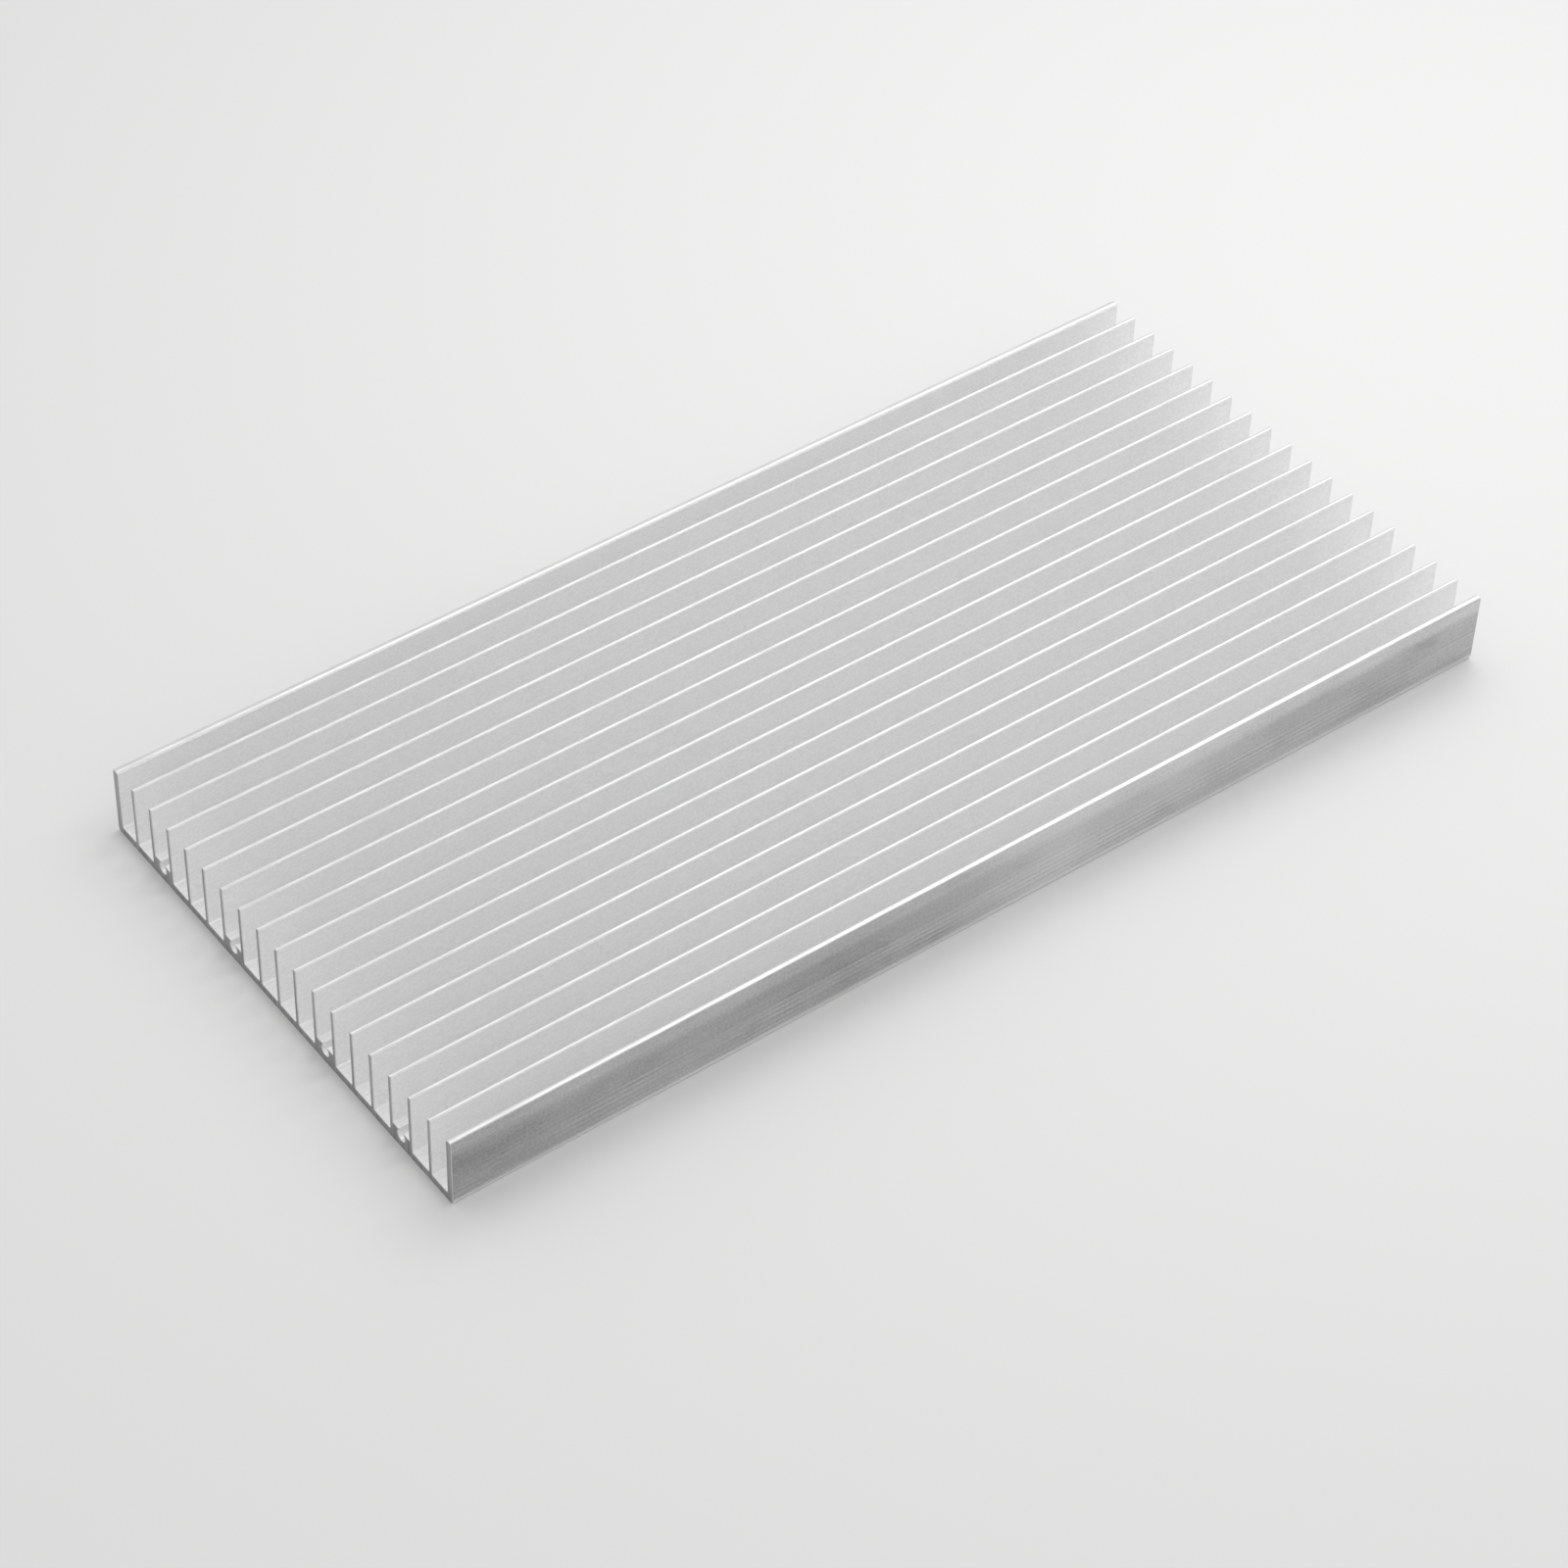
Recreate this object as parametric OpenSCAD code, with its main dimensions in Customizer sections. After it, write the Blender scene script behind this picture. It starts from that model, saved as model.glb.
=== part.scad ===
// Straight-fin heat sink, a sawn length of one aluminium extrusion.
// The section lies across Y and Z and runs along X. The origin is the centre
// of the flat underside, and +Z points up the fins.

/* [Overall] */
// Sawn length, along the fins
sink_l = 300; // [40:1:600]
// Width across the fins
sink_w = 140; // [120:1:220]
// Height from the underside to the fin tips
sink_h = 20; // [12:0.5:60]

/* [Base plate] */
// Thickness of the base plate
base_t = 2.3; // [1.8:0.1:6]
// Radius of the two long lower edges
base_edge_r = 1; // [0.2:0.1:1.5]

/* [Fins] */
// Number of fins, with the two side fins
fin_n = 19; // [17:1:21]
// Thickness of an inner fin
fin_t = 1.1; // [0.8:0.1:1.6]
// Thickness of a side fin
side_fin_t = 2; // [1.2:0.1:3]
// Radius where a fin meets the base plate
root_r = 0.5; // [0.1:0.1:0.8]
// Flat left on the tip of an inner fin, between its two rounded edges
fin_tip_flat = 0.2; // [0.1:0.1:0.7]
// Flat left on the tip of a side fin, between its two rounded edges
side_tip_flat = 0.4; // [0.1:0.1:1]

/* [Screw channels] */
// Gaps with a screw channel, counted in from each side
channel_gaps = [3, 7];
// Diameter of the channel's bore
channel_d = 3; // [2.5:0.1:4]
// Width of the slot along the top of the channel
channel_slot_w = 2; // [0.8:0.1:2.2]
// Thickness of the lips at the slot
channel_lip_t = 0.4; // [0.2:0.1:1.5]

/* [Hidden] */
$fn = 48;

// Fin centres are evenly spaced, from one side fin to the other
fin_pitch = (sink_w - side_fin_t) / (fin_n - 1);
gap_n = fin_n - 1;
// The feet of fins and channel blocks are sunk this far up from the underside
foot_z = base_edge_r;

// The bore's lowest line is level with the floor of the gap
channel_r = channel_d / 2;
channel_z = base_t + channel_r;
slot_meets_bore_z = channel_z + sqrt(channel_r ^ 2 - (channel_slot_w / 2) ^ 2);
channel_top_z = slot_meets_bore_z + channel_lip_t;

function fin_y(i) = (i - (fin_n - 1) / 2) * fin_pitch;
function gap_y(i) = (fin_y(i - 1) + fin_y(i)) / 2;
function is_side(i) = i == 0 || i == fin_n - 1;

// Channel centres, mirrored from one half of the section to the other
channel_ys = [for (g = channel_gaps, i = [g, gap_n + 1 - g]) gap_y(i)];

// Upright bar from the sunk foot to height h, rounded to a narrow flat on top
module bar_section(w, h, flat) {
    r = (w - flat) / 2;
    translate([-w / 2, foot_z]) square([w, h - r - foot_z]);
    translate([-flat / 2, foot_z]) square([flat, h - foot_z]);
    for (side = [-1, 1]) translate([side * flat / 2, h - r]) circle(r);
}

// Hollow corner of radius r on the right of x = 0, above the base plate
module root_fillet(r) {
    difference() {
        translate([0, foot_z]) square([r, base_t + r - foot_z]);
        translate([r, base_t + r]) circle(r);
    }
}

// Flat plate with its two lower edges rounded
module base_section() {
    r = base_edge_r;
    translate([-sink_w / 2, r]) square([sink_w, base_t - r]);
    translate([r - sink_w / 2, 0]) square([sink_w - 2 * r, base_t]);
    for (side = [-1, 1]) translate([side * (sink_w / 2 - r), r]) circle(r);
}

// Fin number i, with a fillet on each side that faces a gap
module fin_section(i) {
    t = is_side(i) ? side_fin_t : fin_t;
    tip_flat = is_side(i) ? side_tip_flat : fin_tip_flat;
    translate([fin_y(i), 0]) {
        bar_section(t, sink_h, tip_flat);
        if (i < fin_n - 1) translate([t / 2, 0]) root_fillet(root_r);
        if (i > 0) mirror([1, 0]) translate([t / 2, 0]) root_fillet(root_r);
    }
}

// Solid block that fills the foot of a gap, before its bore is cut
module channel_block() {
    translate([-fin_pitch / 2, foot_z]) square([fin_pitch, channel_top_z - foot_z]);
}

// Round bore and the slot that opens it upwards
module channel_cut() {
    translate([0, channel_z]) circle(channel_r);
    translate([-channel_slot_w / 2, channel_z]) square([channel_slot_w, sink_h]);
}

module sink_section() {
    difference() {
        union() {
            base_section();
            for (i = [0 : fin_n - 1]) fin_section(i);
            for (y = channel_ys) translate([y, 0]) channel_block();
        }
        for (y = channel_ys) translate([y, 0]) channel_cut();
    }
}

module heat_sink() {
    color("silver") rotate([90, 0, 90]) linear_extrude(sink_l, center = true) sink_section();
}

heat_sink();
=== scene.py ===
import math

import bmesh
import bpy
from mathutils import Matrix, Vector


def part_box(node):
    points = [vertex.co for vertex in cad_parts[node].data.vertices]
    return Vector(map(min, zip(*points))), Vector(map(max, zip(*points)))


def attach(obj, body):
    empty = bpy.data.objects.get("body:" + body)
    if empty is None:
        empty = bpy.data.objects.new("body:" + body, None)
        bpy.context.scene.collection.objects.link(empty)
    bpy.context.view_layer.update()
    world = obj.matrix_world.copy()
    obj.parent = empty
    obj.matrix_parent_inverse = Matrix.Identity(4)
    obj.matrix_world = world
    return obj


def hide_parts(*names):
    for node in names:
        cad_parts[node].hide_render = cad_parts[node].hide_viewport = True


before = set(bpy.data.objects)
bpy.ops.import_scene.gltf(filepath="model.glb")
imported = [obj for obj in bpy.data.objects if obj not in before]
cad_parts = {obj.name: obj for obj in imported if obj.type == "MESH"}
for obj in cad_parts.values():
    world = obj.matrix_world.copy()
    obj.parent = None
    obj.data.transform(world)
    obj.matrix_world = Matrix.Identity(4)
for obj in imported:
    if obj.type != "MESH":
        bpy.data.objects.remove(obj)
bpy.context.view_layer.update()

mm = 0.001
sinkLow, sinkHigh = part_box("heat_sink")
print("frame loaded, CAD box", [round(v / mm, 2) for v in sinkHigh - sinkLow], "mm")


# Heat sink, one extruded section sawn to length

sink = {
    "finCount": 19,
    "finThick": 1.1 * mm,
    "sideFinThick": 2.0 * mm,
    "baseThick": 2.3 * mm,
    "footRadius": 0.5 * mm,
    "finTipRadius": 0.45 * mm,
    "sideTipRadius": 0.8 * mm,
    "lowerEdgeRadius": 1.0 * mm,
    "channelGaps": (3, 7),       # counted in from each side
    "boreDiameter": 3.0 * mm,
    "slotWidth": 2.0 * mm,
    "lipThick": 0.4 * mm,
    "cornerSteps": 8,
    "boreSteps": 64,
    "drillLength": 1.2,          # times the sink's length
    "sawnBreak": 0.15 * mm,      # deburred edge of the sawn ends
    "sawnBreakSteps": 2,
    "sectionFlatAngle": 1,       # degrees, flatter edges are dissolved
    "boredFlatAngle": 0.2,       # the same, once the bores are cut
    "smoothAngle": 32,
    "flatFaceWeight": 100,
}
near = 0.001 * mm  # how close counts as the same place

sinkLength = sinkHigh.x - sinkLow.x
sinkWidth = sinkHigh.y - sinkLow.y
sinkHeight = sinkHigh.z - sinkLow.z
finPitch = (sinkWidth - sink["sideFinThick"]) / (sink["finCount"] - 1)
boreRadius = sink["boreDiameter"] / 2
boreZ = sink["baseThick"] + boreRadius
lipZ = boreZ + math.sqrt(boreRadius ** 2 - (sink["slotWidth"] / 2) ** 2) + sink["lipThick"]


def finY(number):
    return (number - (sink["finCount"] - 1) / 2) * finPitch


def finSides(number):
    isSide = number in (0, sink["finCount"] - 1)
    half = (sink["sideFinThick"] if isSide else sink["finThick"]) / 2
    return finY(number) - half, finY(number) + half


def gapSides(number):
    return finSides(number - 1)[1], finSides(number)[0]


def gapMiddle(number):
    return (finY(number - 1) + finY(number)) / 2


gapNumbers = range(1, sink["finCount"])
channelNumbers = [g for n in sink["channelGaps"] for g in (n, sink["finCount"] - n)]
channelYs = [gapMiddle(n) for n in channelNumbers]


def selectOnly(piece):
    bpy.ops.object.select_all(action="DESELECT")
    piece.select_set(True)
    bpy.context.view_layer.objects.active = piece


def openPiece(piece):
    selectOnly(piece)
    bpy.ops.object.mode_set(mode="EDIT")
    bpy.ops.mesh.select_all(action="DESELECT")


def pick(piece, kind, test):
    bpy.ops.mesh.select_mode(type={"verts": "VERT", "edges": "EDGE", "faces": "FACE"}[kind])
    bpy.ops.mesh.select_all(action="DESELECT")
    cage = bmesh.from_edit_mesh(piece.data)
    for part in getattr(cage, kind):
        if test(part):
            part.select_set(True)
    cage.select_flush_mode()
    bmesh.update_edit_mesh(piece.data)


def at(value, place):
    return abs(value - place) < near


def cutSection(y=None, z=None):
    bpy.ops.mesh.select_all(action="SELECT")
    if y is not None:
        bpy.ops.mesh.bisect(plane_co=(0, y, 0), plane_no=(0, 1, 0), threshold=near)
    else:
        bpy.ops.mesh.bisect(plane_co=(0, 0, z), plane_no=(0, 0, 1), threshold=near)


def isAir(face):
    y, z = face.calc_center_median()[1:]
    if z < sink["baseThick"]:
        return False
    for number in gapNumbers:
        low, high = gapSides(number)
        if low < y < high:
            if number not in channelNumbers or z > lipZ:
                return True
            return z > boreZ and abs(y - gapMiddle(number)) < sink["slotWidth"] / 2
    return False


def isFoot(vert):
    if not at(vert.co.z, sink["baseThick"]):
        return False
    sides = [s for n in gapNumbers if n not in channelNumbers for s in gapSides(n)]
    return any(at(vert.co.y, s) for s in sides)


def isSideTip(vert):
    isSideFin = abs(vert.co.y) > sinkWidth / 2 - sink["sideFinThick"] - near
    return at(vert.co.z, sinkHeight) and isSideFin


def isFinTip(vert):
    return at(vert.co.z, sinkHeight) and not isSideTip(vert)


def isLowerEdge(vert):
    return at(vert.co.z, 0) and at(abs(vert.co.y), sinkWidth / 2)


def roundCorners(piece, radius, test):
    pick(piece, "verts", test)
    bpy.ops.mesh.bevel(offset=radius, offset_type="OFFSET", segments=sink["cornerSteps"],
                       affect="VERTICES", clamp_overlap=False)


def makeSection():
    bpy.ops.object.select_all(action="DESELECT")
    bpy.ops.mesh.primitive_plane_add(size=1, location=(sinkLow.x, 0, sinkHeight / 2),
                                     rotation=(0, math.radians(90), 0))
    piece = bpy.context.object
    piece.name = "heat_sink_body"
    piece.scale = (sinkHeight, sinkWidth, 1)
    bpy.ops.object.transform_apply(location=True, rotation=True, scale=True)
    openPiece(piece)
    for number in range(sink["finCount"]):
        for side in finSides(number):
            if abs(side) < sinkWidth / 2 - near:
                cutSection(y=side)
    for y in channelYs:
        cutSection(y=y - sink["slotWidth"] / 2)
        cutSection(y=y + sink["slotWidth"] / 2)
    for z in (sink["baseThick"], boreZ, lipZ):
        cutSection(z=z)
    pick(piece, "faces", isAir)
    bpy.ops.mesh.delete(type="FACE")
    bpy.ops.mesh.select_all(action="SELECT")
    bpy.ops.mesh.dissolve_limited(angle_limit=math.radians(sink["sectionFlatAngle"]))
    roundCorners(piece, sink["finTipRadius"], isFinTip)
    roundCorners(piece, sink["sideTipRadius"], isSideTip)
    roundCorners(piece, sink["footRadius"], isFoot)
    roundCorners(piece, sink["lowerEdgeRadius"], isLowerEdge)
    return piece


def drawLength(piece):
    bpy.ops.mesh.select_all(action="SELECT")
    bpy.ops.mesh.extrude_region_move(TRANSFORM_OT_translate={"value": (sinkLength, 0, 0)})
    bpy.ops.mesh.select_all(action="SELECT")
    bpy.ops.mesh.normals_make_consistent(inside=False)
    bpy.ops.object.mode_set(mode="OBJECT")


def boreChannels(piece):
    for y in channelYs:
        bpy.ops.object.select_all(action="DESELECT")
        bpy.ops.mesh.primitive_cylinder_add(vertices=sink["boreSteps"], radius=boreRadius,
                                            depth=sink["drillLength"] * sinkLength,
                                            location=(0, y, boreZ),
                                            rotation=(0, math.radians(90), 0))
        drill = bpy.context.object
        bpy.ops.object.transform_apply(location=True, rotation=True, scale=True)
        selectOnly(piece)
        bore = piece.modifiers.new("bore", "BOOLEAN")
        bore.operation = "DIFFERENCE"
        bore.solver = "EXACT"
        bore.object = drill
        bpy.ops.object.modifier_apply(modifier=bore.name)
        bpy.data.objects.remove(drill)


def isSawnEdge(edge):
    xs = [v.co.x for v in edge.verts]
    return all(at(x, sinkLow.x) for x in xs) or all(at(x, sinkHigh.x) for x in xs)


def breakSawnEdges(piece):
    openPiece(piece)
    bpy.ops.mesh.select_all(action="SELECT")
    bpy.ops.mesh.remove_doubles(threshold=near)
    bpy.ops.mesh.select_all(action="SELECT")
    bpy.ops.mesh.dissolve_limited(angle_limit=math.radians(sink["boredFlatAngle"]))
    pick(piece, "edges", isSawnEdge)
    bpy.ops.mesh.bevel(offset=sink["sawnBreak"], offset_type="OFFSET",
                       segments=sink["sawnBreakSteps"], affect="EDGES", clamp_overlap=False)
    bpy.ops.object.mode_set(mode="OBJECT")


def smoothSink(piece):
    selectOnly(piece)
    bpy.ops.object.shade_smooth_by_angle(angle=math.radians(sink["smoothAngle"]))
    weighted = piece.modifiers.new("flatFaces", "WEIGHTED_NORMAL")
    weighted.mode = "FACE_AREA"
    weighted.weight = sink["flatFaceWeight"]
    weighted.keep_sharp = True
    bpy.ops.object.modifier_apply(modifier=weighted.name)


heatSink = makeSection()
drawLength(heatSink)
boreChannels(heatSink)
breakSawnEdges(heatSink)
smoothSink(heatSink)
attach(heatSink, "root")
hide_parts("heat_sink")
print("heat sink modelled,", len(heatSink.data.polygons), "faces")


# Finishes, as layers of noise on Object coordinates

nodeColumns = {
    "place": -1500,
    "mapping": -1300,
    "texture": -1100,
    "spread": -900,
    "share": -700,
    "sum": -500,
    "shader": -300,
}
nodeRow = 400
noiseRoughness = 0.55
waveTurn = 20  # radians that a wave texture turns per unit


def node(finish, kind, column, row, **values):
    made = finish.node_tree.nodes.new(kind)
    made.location = (nodeColumns[column], -nodeRow * row)
    for key, value in values.items():
        setattr(made, key, value)
    return made


def wire(finish, source, target):
    finish.node_tree.links.new(source, target)


def newFinish(name, settings):
    finish = bpy.data.materials.new(name)
    finish.use_nodes = True
    shader = finish.node_tree.nodes["Principled BSDF"]
    shader.inputs["Metallic"].default_value = settings["metallic"]
    place = node(finish, "ShaderNodeTexCoord", "place", 0)
    return finish, shader, place.outputs["Object"]


def mapped(finish, place, scale, row, tilt=0):
    mapping = node(finish, "ShaderNodeMapping", "mapping", row)
    mapping.inputs["Scale"].default_value = scale
    mapping.inputs["Rotation"].default_value = (math.radians(tilt), 0, 0)
    wire(finish, place, mapping.inputs["Vector"])
    return mapping.outputs["Vector"]


def stretched(finish, source, spread, row, centred=False):
    ranged = node(finish, "ShaderNodeMapRange", "spread", row)
    ranged.inputs["From Min"].default_value = spread[0]
    ranged.inputs["From Max"].default_value = spread[1]
    if centred:
        ranged.inputs["To Min"].default_value = -0.5
        ranged.inputs["To Max"].default_value = 0.5
    wire(finish, source, ranged.inputs["Value"])
    return ranged.outputs["Result"]


# A layer's scale is per metre, and its spread is the part of the noise that fills the full range
def noiseLayer(finish, place, layer, row):
    noise = node(finish, "ShaderNodeTexNoise", "texture", row)
    noise.inputs["Scale"].default_value = 1
    noise.inputs["Detail"].default_value = layer["detail"]
    noise.inputs["Roughness"].default_value = noiseRoughness
    vector = mapped(finish, place, layer["scale"], row, layer.get("tilt", 0))
    wire(finish, vector, noise.inputs["Vector"])
    return stretched(finish, noise.outputs["Fac"], layer["spread"], row, layer.get("centred", False))


def noiseLayers(finish, place, settings, names):
    return {name: noiseLayer(finish, place, settings[name], row) for row, name in enumerate(names)}


def lineLayer(finish, place, layer, row):
    turn = 2 * math.pi / layer["spacing"]
    wave = node(finish, "ShaderNodeTexWave", "texture", row, bands_direction="Z")
    wave.inputs["Scale"].default_value = 1
    wave.inputs["Distortion"].default_value = layer["uneven"]
    wave.inputs["Detail"].default_value = 1
    wave.inputs["Detail Scale"].default_value = 1
    wave.inputs["Phase Offset"].default_value = math.pi - turn * layer["lowest"]
    across = turn / waveTurn
    vector = mapped(finish, place, (layer["wander"], across, across), row)
    wire(finish, vector, wave.inputs["Vector"])
    return stretched(finish, wave.outputs["Fac"], (0, 1), row, centred=True)


# Fades in from the first of a layer's heights to the second
def heightLayer(finish, place, layer, row):
    apart = node(finish, "ShaderNodeSeparateXYZ", "mapping", row)
    fade = node(finish, "ShaderNodeMapRange", "texture", row, interpolation_type="SMOOTHSTEP")
    fade.inputs["From Min"].default_value = layer["heights"][0]
    fade.inputs["From Max"].default_value = layer["heights"][1]
    wire(finish, place, apart.inputs["Vector"])
    wire(finish, apart.outputs["Z"], fade.inputs["Value"])
    return fade.outputs["Result"]


def product(finish, first, second, row):
    both = node(finish, "ShaderNodeMath", "share", row, operation="MULTIPLY")
    wire(finish, first, both.inputs[0])
    wire(finish, second, both.inputs[1])
    return both.outputs[0]


def weighed(finish, settings, layers):
    total = None
    for row, (name, source) in enumerate(layers.items()):
        part = node(finish, "ShaderNodeMath", "share", row, operation="MULTIPLY")
        part.inputs[1].default_value = settings[name]["share"]
        wire(finish, source, part.inputs[0])
        if total is None:
            total = part.outputs[0]
        else:
            both = node(finish, "ShaderNodeMath", "sum", row, operation="ADD")
            wire(finish, total, both.inputs[0])
            wire(finish, part.outputs[0], both.inputs[1])
            total = both.outputs[0]
    return total


def colourFrom(finish, shader, settings, source):
    ramp = node(finish, "ShaderNodeValToRGB", "shader", 0)
    ramp.color_ramp.elements[0].color = settings["dark"]
    ramp.color_ramp.elements[1].color = settings["light"]
    wire(finish, source, ramp.inputs["Fac"])
    wire(finish, ramp.outputs["Color"], shader.inputs["Base Color"])


def roughnessFrom(finish, shader, settings, source):
    ranged = node(finish, "ShaderNodeMapRange", "shader", 1)
    ranged.inputs["To Min"].default_value = settings["roughness"][1]
    ranged.inputs["To Max"].default_value = settings["roughness"][0]
    wire(finish, source, ranged.inputs["Value"])
    wire(finish, ranged.outputs["Result"], shader.inputs["Roughness"])


def bumpFrom(finish, shader, settings, source):
    bump = node(finish, "ShaderNodeBump", "shader", 2)
    bump.inputs["Strength"].default_value = settings["bump"]
    bump.inputs["Distance"].default_value = settings["bumpDepth"]
    wire(finish, source, bump.inputs["Height"])
    wire(finish, bump.outputs["Normal"], shader.inputs["Normal"])


# Fin faces, matte and finely grained, coloured near white as painted light for the light bounced
# between the fins
gapFinish = {
    "light": (0.995, 0.995, 0.995, 1),
    "dark": (0.92, 0.92, 0.92, 1),
    "metallic": 0.5,
    "roughness": (0.52, 0.70),
    "bump": 0.8,
    "bumpDepth": 0.06 * mm,
    "grain": {"scale": (1500 / 1.3, 1500, 1500), "detail": 2, "spread": (0.40, 0.60), "share": 0.8},
    "streak": {"scale": (9, 1100, 1100), "detail": 2, "spread": (0.35, 0.65), "share": 0.1},
    "cloud": {"scale": (18, 60, 60), "detail": 3, "spread": (0.35, 0.65), "share": 0.1},
}


def gapAluminium():
    finish, shader, place = newFinish("gap_aluminium", gapFinish)
    layers = noiseLayers(finish, place, gapFinish, ("grain", "streak", "cloud"))
    mixed = weighed(finish, gapFinish, layers)
    colourFrom(finish, shader, gapFinish, mixed)
    roughnessFrom(finish, shader, gapFinish, mixed)
    bumpFrom(finish, shader, gapFinish, mixed)
    return finish


# Gap floors and channel tops, with lengthwise die lines
floorFinish = {
    "light": (0.93, 0.93, 0.93, 1),
    "dark": (0.83, 0.83, 0.83, 1),
    "metallic": 0.55,
    "roughness": (0.46, 0.62),
    "bump": 0.5,
    "bumpDepth": 0.04 * mm,
    "grain": {"scale": (1500, 1500, 1500), "detail": 2, "spread": (0.40, 0.60), "share": 0.4},
    "dieLine": {"scale": (8, 1300, 1300), "detail": 2, "spread": (0.35, 0.65), "share": 0.6},
}


def floorAluminium():
    finish, shader, place = newFinish("gap_floor_aluminium", floorFinish)
    layers = noiseLayers(finish, place, floorFinish, ("grain", "dieLine"))
    mixed = weighed(finish, floorFinish, layers)
    colourFrom(finish, shader, floorFinish, mixed)
    roughnessFrom(finish, shader, floorFinish, mixed)
    bumpFrom(finish, shader, floorFinish, mixed)
    return finish


# Outer sides and underside, with stains, smudges, a worn lower edge and straight die lines low on
# the sides; its colours sit well below the fin metal's as painted shade
outerFinish = {
    "light": (0.81, 0.81, 0.82, 1),
    "dark": (0.18, 0.18, 0.185, 1),
    "metallic": 0.65,
    "roughness": (0.42, 0.60),
    "bump": 0.3,
    "bumpDepth": 0.02 * mm,
    "scratch": {"scale": (8, 1600, 1600), "detail": 2, "spread": (0.40, 0.60), "share": 0.05,
                "centred": True},
    "grain": {"scale": (1400, 1400, 1400), "detail": 2, "spread": (0.40, 0.60), "share": 0.12,
              "centred": True},
    "band": {"scale": (7, 300, 300), "detail": 2, "spread": (0.30, 0.70), "share": 0.06},
    "smudge": {"scale": (28, 56, 56), "detail": 3, "spread": (0.30, 0.65), "share": 0.18},
    # broad tone noise, offset so the left end comes out darker: tarnish, and painted shade for light
    # falling off towards the left
    "tarnishAndPaintedShade": {"scale": (5, 10, 10), "detail": 1, "spread": (0.40, 0.62), "share": 0.42},
    "stain": {"scale": (75, 112.5, 112.5), "detail": 2, "spread": (0.27, 0.40), "share": 0.10},
    # lighter from 13 mm down to 5 mm: painted light that lifts the shaded floor reflected low on the
    # sides
    "paintedLightLow": {"heights": (13 * mm, 5 * mm), "share": 0.10},
    # lighter band from 14.5 mm up to 17.5 mm: painted light
    "paintedLightTop": {"heights": (14.5 * mm, 17.5 * mm), "share": 0.16},
    # lighter from 2.3 mm down to 1.3 mm, along the lower edge: wear, and painted light that lifts
    # the floor's contact shade
    "wornAndPaintedLightFoot": {"heights": (2.3 * mm, 1.3 * mm), "share": 0.22},
    "dieLine": {
        "spacing": 1.53 * mm,
        "lowest": 1.32 * mm,     # height of the lowest light line
        "uneven": 1.2,
        "wander": 8,             # per metre of a line's length
        "heights": (12 * mm, 9 * mm),
        "share": 0.24,
    },
    "dieLinePatch": {"scale": (45, 135, 135), "detail": 1, "spread": (0.35, 0.60)},
}


def patchyDieLines(finish, place, row):
    lines = lineLayer(finish, place, outerFinish["dieLine"], row)
    zone = heightLayer(finish, place, outerFinish["dieLine"], row + 1)
    patch = noiseLayer(finish, place, outerFinish["dieLinePatch"], row + 2)
    return product(finish, product(finish, lines, zone, row + 1), patch, row + 2)


def outerAluminium():
    finish, shader, place = newFinish("outer_aluminium", outerFinish)
    noises = ("scratch", "grain", "band", "smudge", "tarnishAndPaintedShade", "stain")
    layers = noiseLayers(finish, place, outerFinish, noises)
    # painted light by height: lighter low down, in a band near the top and at the worn lower edge
    for name in ("paintedLightLow", "paintedLightTop", "wornAndPaintedLightFoot"):
        layers[name] = heightLayer(finish, place, outerFinish[name], len(layers))
    layers["dieLine"] = patchyDieLines(finish, place, len(layers))
    mixed = weighed(finish, outerFinish, layers)
    colourFrom(finish, shader, outerFinish, mixed)
    roughnessFrom(finish, shader, outerFinish, mixed)
    bumpFrom(finish, shader, outerFinish, layers["scratch"])
    return finish


# Rubbed fin tips, coloured below the fin metal as painted shade that tones down their highlight
tipFinish = {
    "light": (0.70, 0.70, 0.70, 1),
    "dark": (0.60, 0.60, 0.60, 1),
    "metallic": 0.55,
    "roughness": (0.28, 0.40),
    "wear": {"scale": (120, 900, 900), "detail": 3, "spread": (0.30, 0.65)},
}


def tipAluminium():
    finish, shader, place = newFinish("tip_aluminium", tipFinish)
    wear = noiseLayer(finish, place, tipFinish["wear"], 0)
    colourFrom(finish, shader, tipFinish, wear)
    roughnessFrom(finish, shader, tipFinish, wear)
    return finish


# Sawn ends, with upright saw lines at a slight tilt, coloured darker than sawn metal as painted
# shade
sawnFinish = {
    "light": (0.47, 0.47, 0.47, 1),
    "dark": (0.24, 0.24, 0.24, 1),
    "metallic": 0.9,
    "roughness": (0.36, 0.55),
    "bump": 0.3,
    "bumpDepth": 0.02 * mm,
    "sawLine": {"scale": (2600, 2600, 2600 / 60), "detail": 3, "spread": (0.30, 0.68), "tilt": 12},
}


def sawnAluminium():
    finish, shader, place = newFinish("sawn_aluminium", sawnFinish)
    cut = noiseLayer(finish, place, sawnFinish["sawLine"], 0)
    colourFrom(finish, shader, sawnFinish, cut)
    roughnessFrom(finish, shader, sawnFinish, cut)
    bumpFrom(finish, shader, sawnFinish, cut)
    return finish


# How squarely a face has to look along X, or up, to take a finish
facing = {
    "sawn": 0.97,
    "sawnBreak": 0.1,
    "up": 0.75,
}


def finishName(face):
    y, z = abs(face.center.y), face.center.z
    along, isUp = abs(face.normal.x), face.normal.z > facing["up"]
    if along > facing["sawn"]:
        return "sawn"
    if along > facing["sawnBreak"] or (isUp and z > sinkHeight / 2):
        return "tip"
    shoulder = sink["sideTipRadius"]
    isShoulder = y > sinkWidth / 2 - shoulder and z > sinkHeight - shoulder
    if isShoulder or y > sinkWidth / 2 - near or z < near:
        return "outer"
    return "floor" if isUp and z < lipZ + near else "gap"


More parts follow.
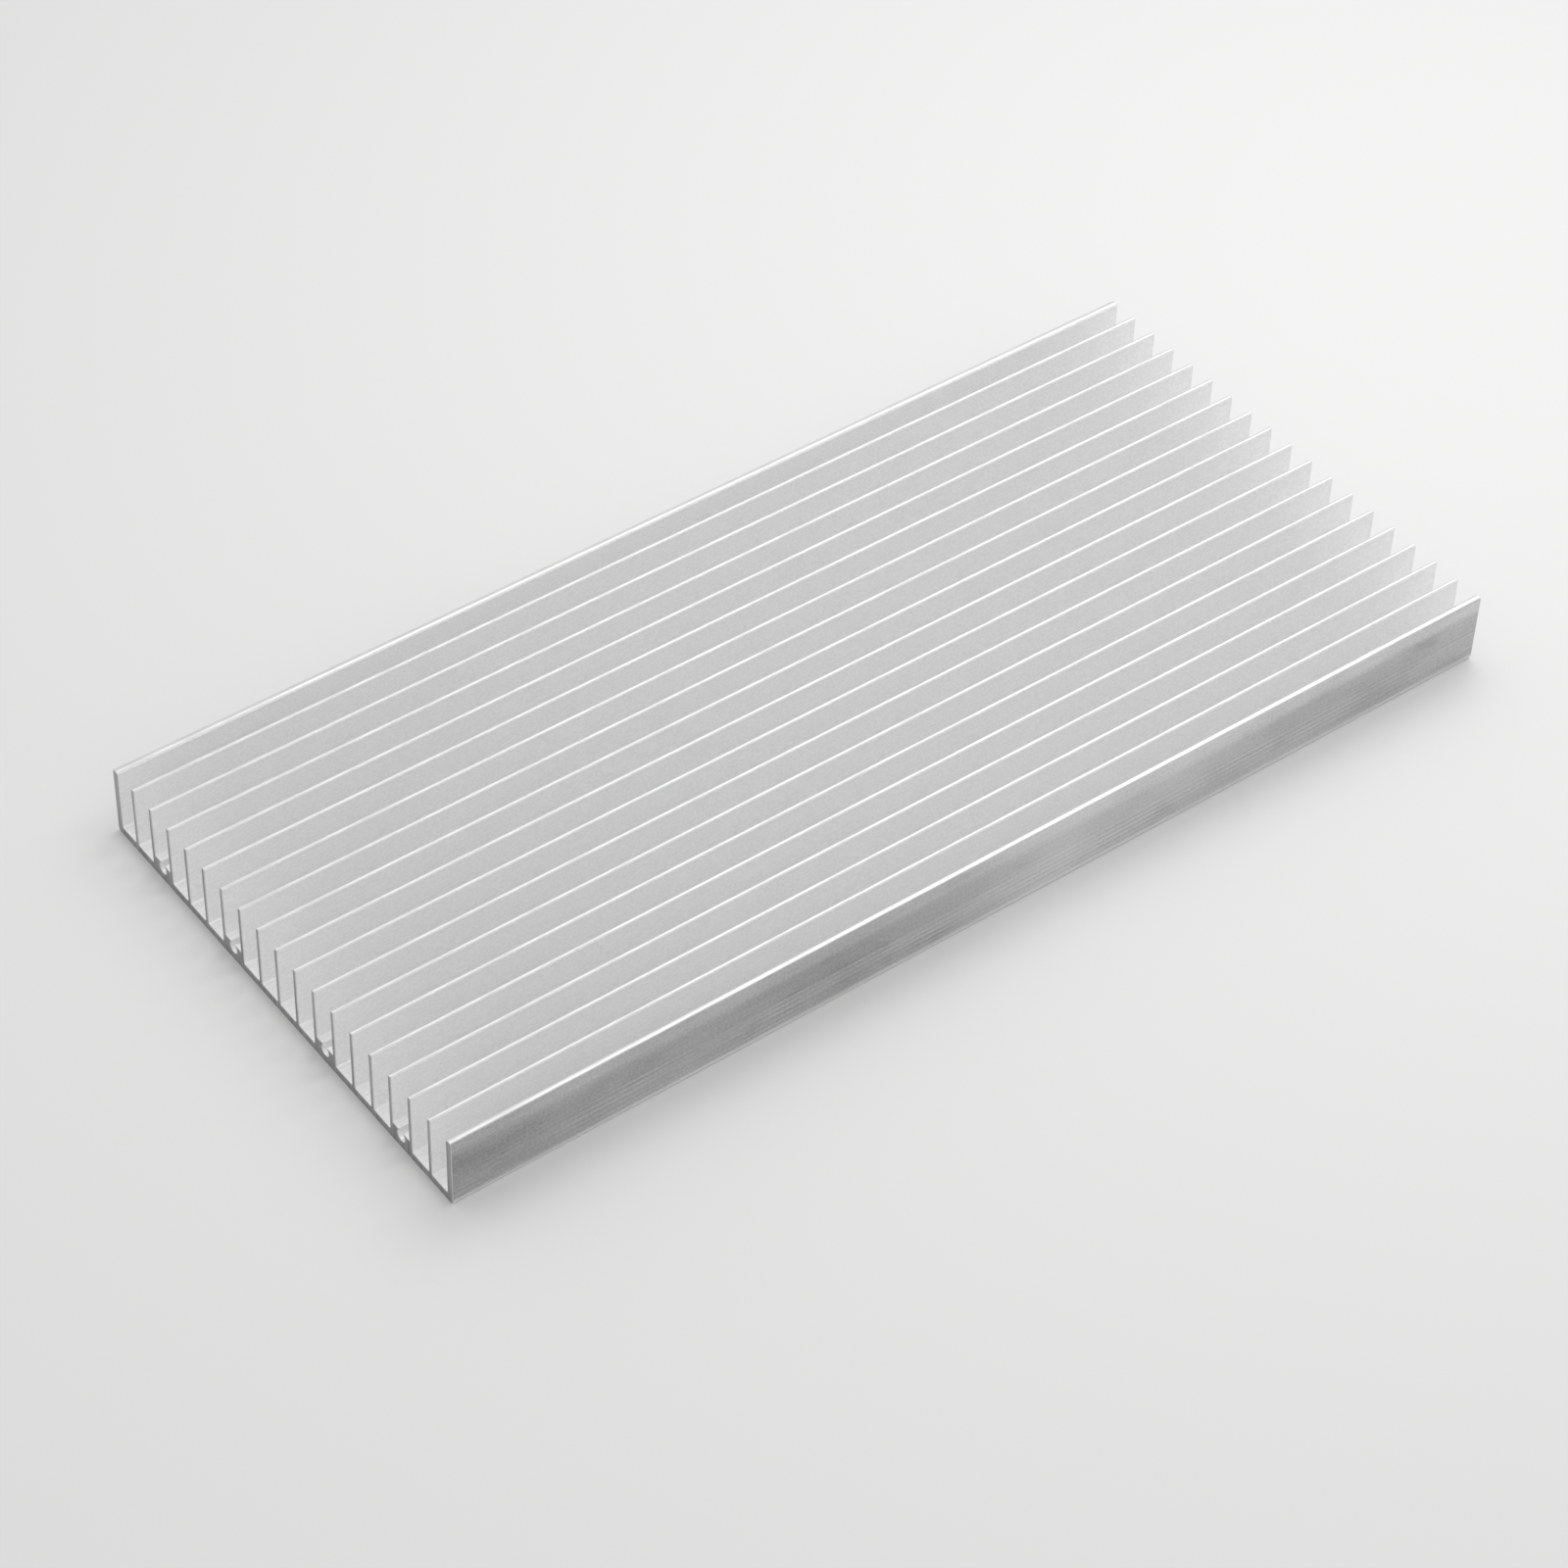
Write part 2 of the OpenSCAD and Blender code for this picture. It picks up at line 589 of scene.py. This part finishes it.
finishes = {
    "gap": gapAluminium(),
    "outer": outerAluminium(),
    "tip": tipAluminium(),
    "sawn": sawnAluminium(),
    "floor": floorAluminium(),
}
finishOrder = list(finishes)
heatSink.data.materials.clear()
for name in finishOrder:
    heatSink.data.materials.append(finishes[name])
for face in heatSink.data.polygons:
    face.material_index = finishOrder.index(finishName(face))
print("finishes set:", ", ".join(finishOrder))


# Studio: pale floor, soft light, camera at the photograph's angle

studio = {
    "floorSize": 12,
    "floorColour": (0.72, 0.72, 0.715, 1),
    "floorRoughness": 0.8,
    "domeColour": (1, 1, 1, 1),
    "domeLow": 0.29,
    "domeHigh": 0.98,
    "domeTowards": (150, 82),    # azimuth and elevation of its brightest part
    "domeFade": (-0.3, 1),       # cosine from there, where it is lowest and highest
    "boxAzimuth": 102,
    "boxElevation": 60,
    "boxDistance": 0.60,
    "boxSize": 0.5,
    "boxPower": 1.5,
}


def direction(azimuth, elevation):
    a, e = math.radians(azimuth), math.radians(elevation)
    return Vector((math.sin(a) * math.cos(e), -math.cos(a) * math.cos(e), math.sin(e)))


def makeFloor():
    bpy.ops.object.select_all(action="DESELECT")
    bpy.ops.mesh.primitive_plane_add(size=studio["floorSize"], location=(0, 0, 0))
    floor = bpy.context.object
    floor.name = "floor"
    paint = bpy.data.materials.new("floor_paint")
    paint.use_nodes = True
    shader = paint.node_tree.nodes["Principled BSDF"]
    shader.inputs["Base Color"].default_value = studio["floorColour"]
    shader.inputs["Roughness"].default_value = studio["floorRoughness"]
    floor.data.materials.append(paint)


def makeDome():
    world = bpy.data.worlds.new("studio")
    world.use_nodes = True
    tree = world.node_tree
    place = tree.nodes.new("ShaderNodeTexCoord")
    towards = tree.nodes.new("ShaderNodeVectorMath")
    towards.operation = "DOT_PRODUCT"
    towards.inputs[1].default_value = direction(*studio["domeTowards"])
    dome = tree.nodes.new("ShaderNodeMapRange")
    dome.interpolation_type = "SMOOTHSTEP"
    dome.inputs["From Min"].default_value = studio["domeFade"][0]
    dome.inputs["From Max"].default_value = studio["domeFade"][1]
    dome.inputs["To Min"].default_value = studio["domeLow"]
    dome.inputs["To Max"].default_value = studio["domeHigh"]
    tree.links.new(place.outputs["Generated"], towards.inputs[0])
    tree.links.new(towards.outputs["Value"], dome.inputs["Value"])
    tree.links.new(dome.outputs["Result"], tree.nodes["Background"].inputs["Strength"])
    tree.nodes["Background"].inputs["Color"].default_value = studio["domeColour"]
    bpy.context.scene.world = world


def makeKeyBox():
    lamp = bpy.data.lights.new("key_box", "AREA")
    lamp.shape = "SQUARE"
    lamp.size = studio["boxSize"]
    lamp.energy = studio["boxPower"]
    box = bpy.data.objects.new("key_box", lamp)
    bpy.context.scene.collection.objects.link(box)
    towards = direction(studio["boxAzimuth"], studio["boxElevation"])
    box.location = towards * studio["boxDistance"]
    box.rotation_euler = towards.to_track_quat("Z", "Y").to_euler()


view = {
    "azimuth": -38.216,
    "elevation": 44.833,
    "distance": 1067.12 * mm,
    "aim": (-20.18 * mm, -15.64 * mm, 10.0 * mm),
    "roll": 2.092,
    "lens": 104.564,
    "sensor": 36,
}


def makeCamera():
    lens = bpy.data.cameras.new("photo_view")
    lens.sensor_width = view["sensor"]
    lens.lens = view["lens"]
    camera = bpy.data.objects.new("photo_view", lens)
    bpy.context.scene.collection.objects.link(camera)
    back = direction(view["azimuth"], view["elevation"])
    level = back.to_track_quat("Z", "Y").to_matrix().to_4x4()
    turn = Matrix.Rotation(math.radians(view["roll"]), 4, "Z")
    place = Matrix.Translation(Vector(view["aim"]) + back * view["distance"])
    camera.matrix_world = place @ level @ turn
    bpy.context.scene.camera = camera


makeFloor()
makeDome()
makeKeyBox()
makeCamera()
bpy.context.scene.view_settings.view_transform = "Standard"
print("studio ready")
